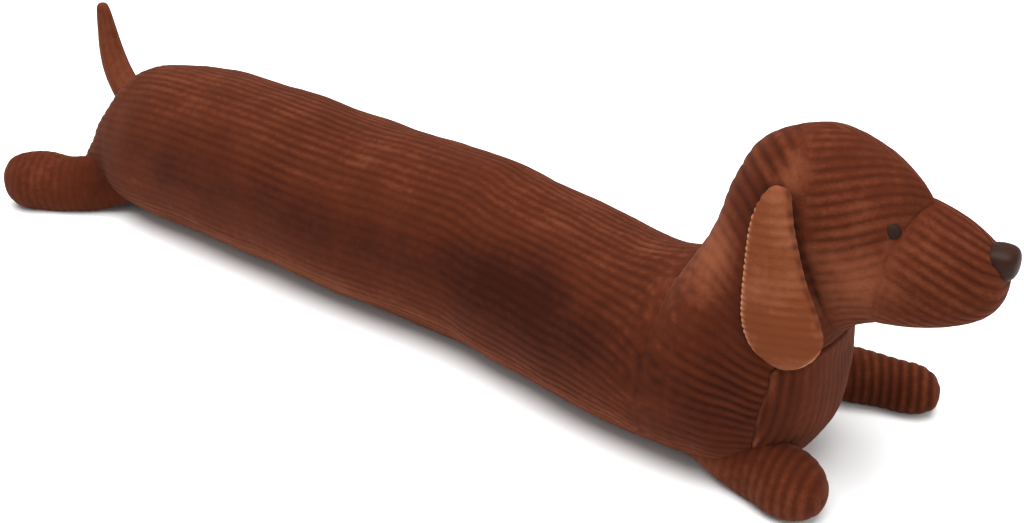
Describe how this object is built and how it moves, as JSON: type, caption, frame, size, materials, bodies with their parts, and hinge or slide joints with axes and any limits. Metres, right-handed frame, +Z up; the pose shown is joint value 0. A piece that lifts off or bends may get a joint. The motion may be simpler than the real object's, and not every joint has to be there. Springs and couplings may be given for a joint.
{
  "type": "draught excluder",
  "caption": "Long filled tube in ribbed brown cord, shaped as a lying dog with hanging ears, stub paws and a tail, that closes the gap under a door.",
  "frame": {"origin": "centre of the bounding box on the plane that it rests on", "axes": "+X from the rump to the nose, +Y to the dog's left, +Z up"},
  "size_m": [0.8645, 0.2541, 0.2423],
  "materials": {
    "brown_cord": "russet brown jumbo cord, dull pile",
    "ear_cord": "the same cord, its pile brushed lighter",
    "nose": "smooth dark brown, dull satin",
    "eye": "dark grey-brown, dull satin"
  },
  "bodies": {
    "root": {"body": "brown_cord", "shoulders": "brown_cord", "chest": "brown_cord", "head": "brown_cord", "muzzle": "brown_cord", "front_paw_right": "brown_cord", "front_paw_left": "brown_cord", "hind_paw_right": "brown_cord", "hind_paw_left": "brown_cord", "tail": "brown_cord", "ear_right": "ear_cord", "ear_left": "ear_cord", "nose": "nose", "eye_right": "eye", "eye_left": "eye"}
  },
  "joints": []
}
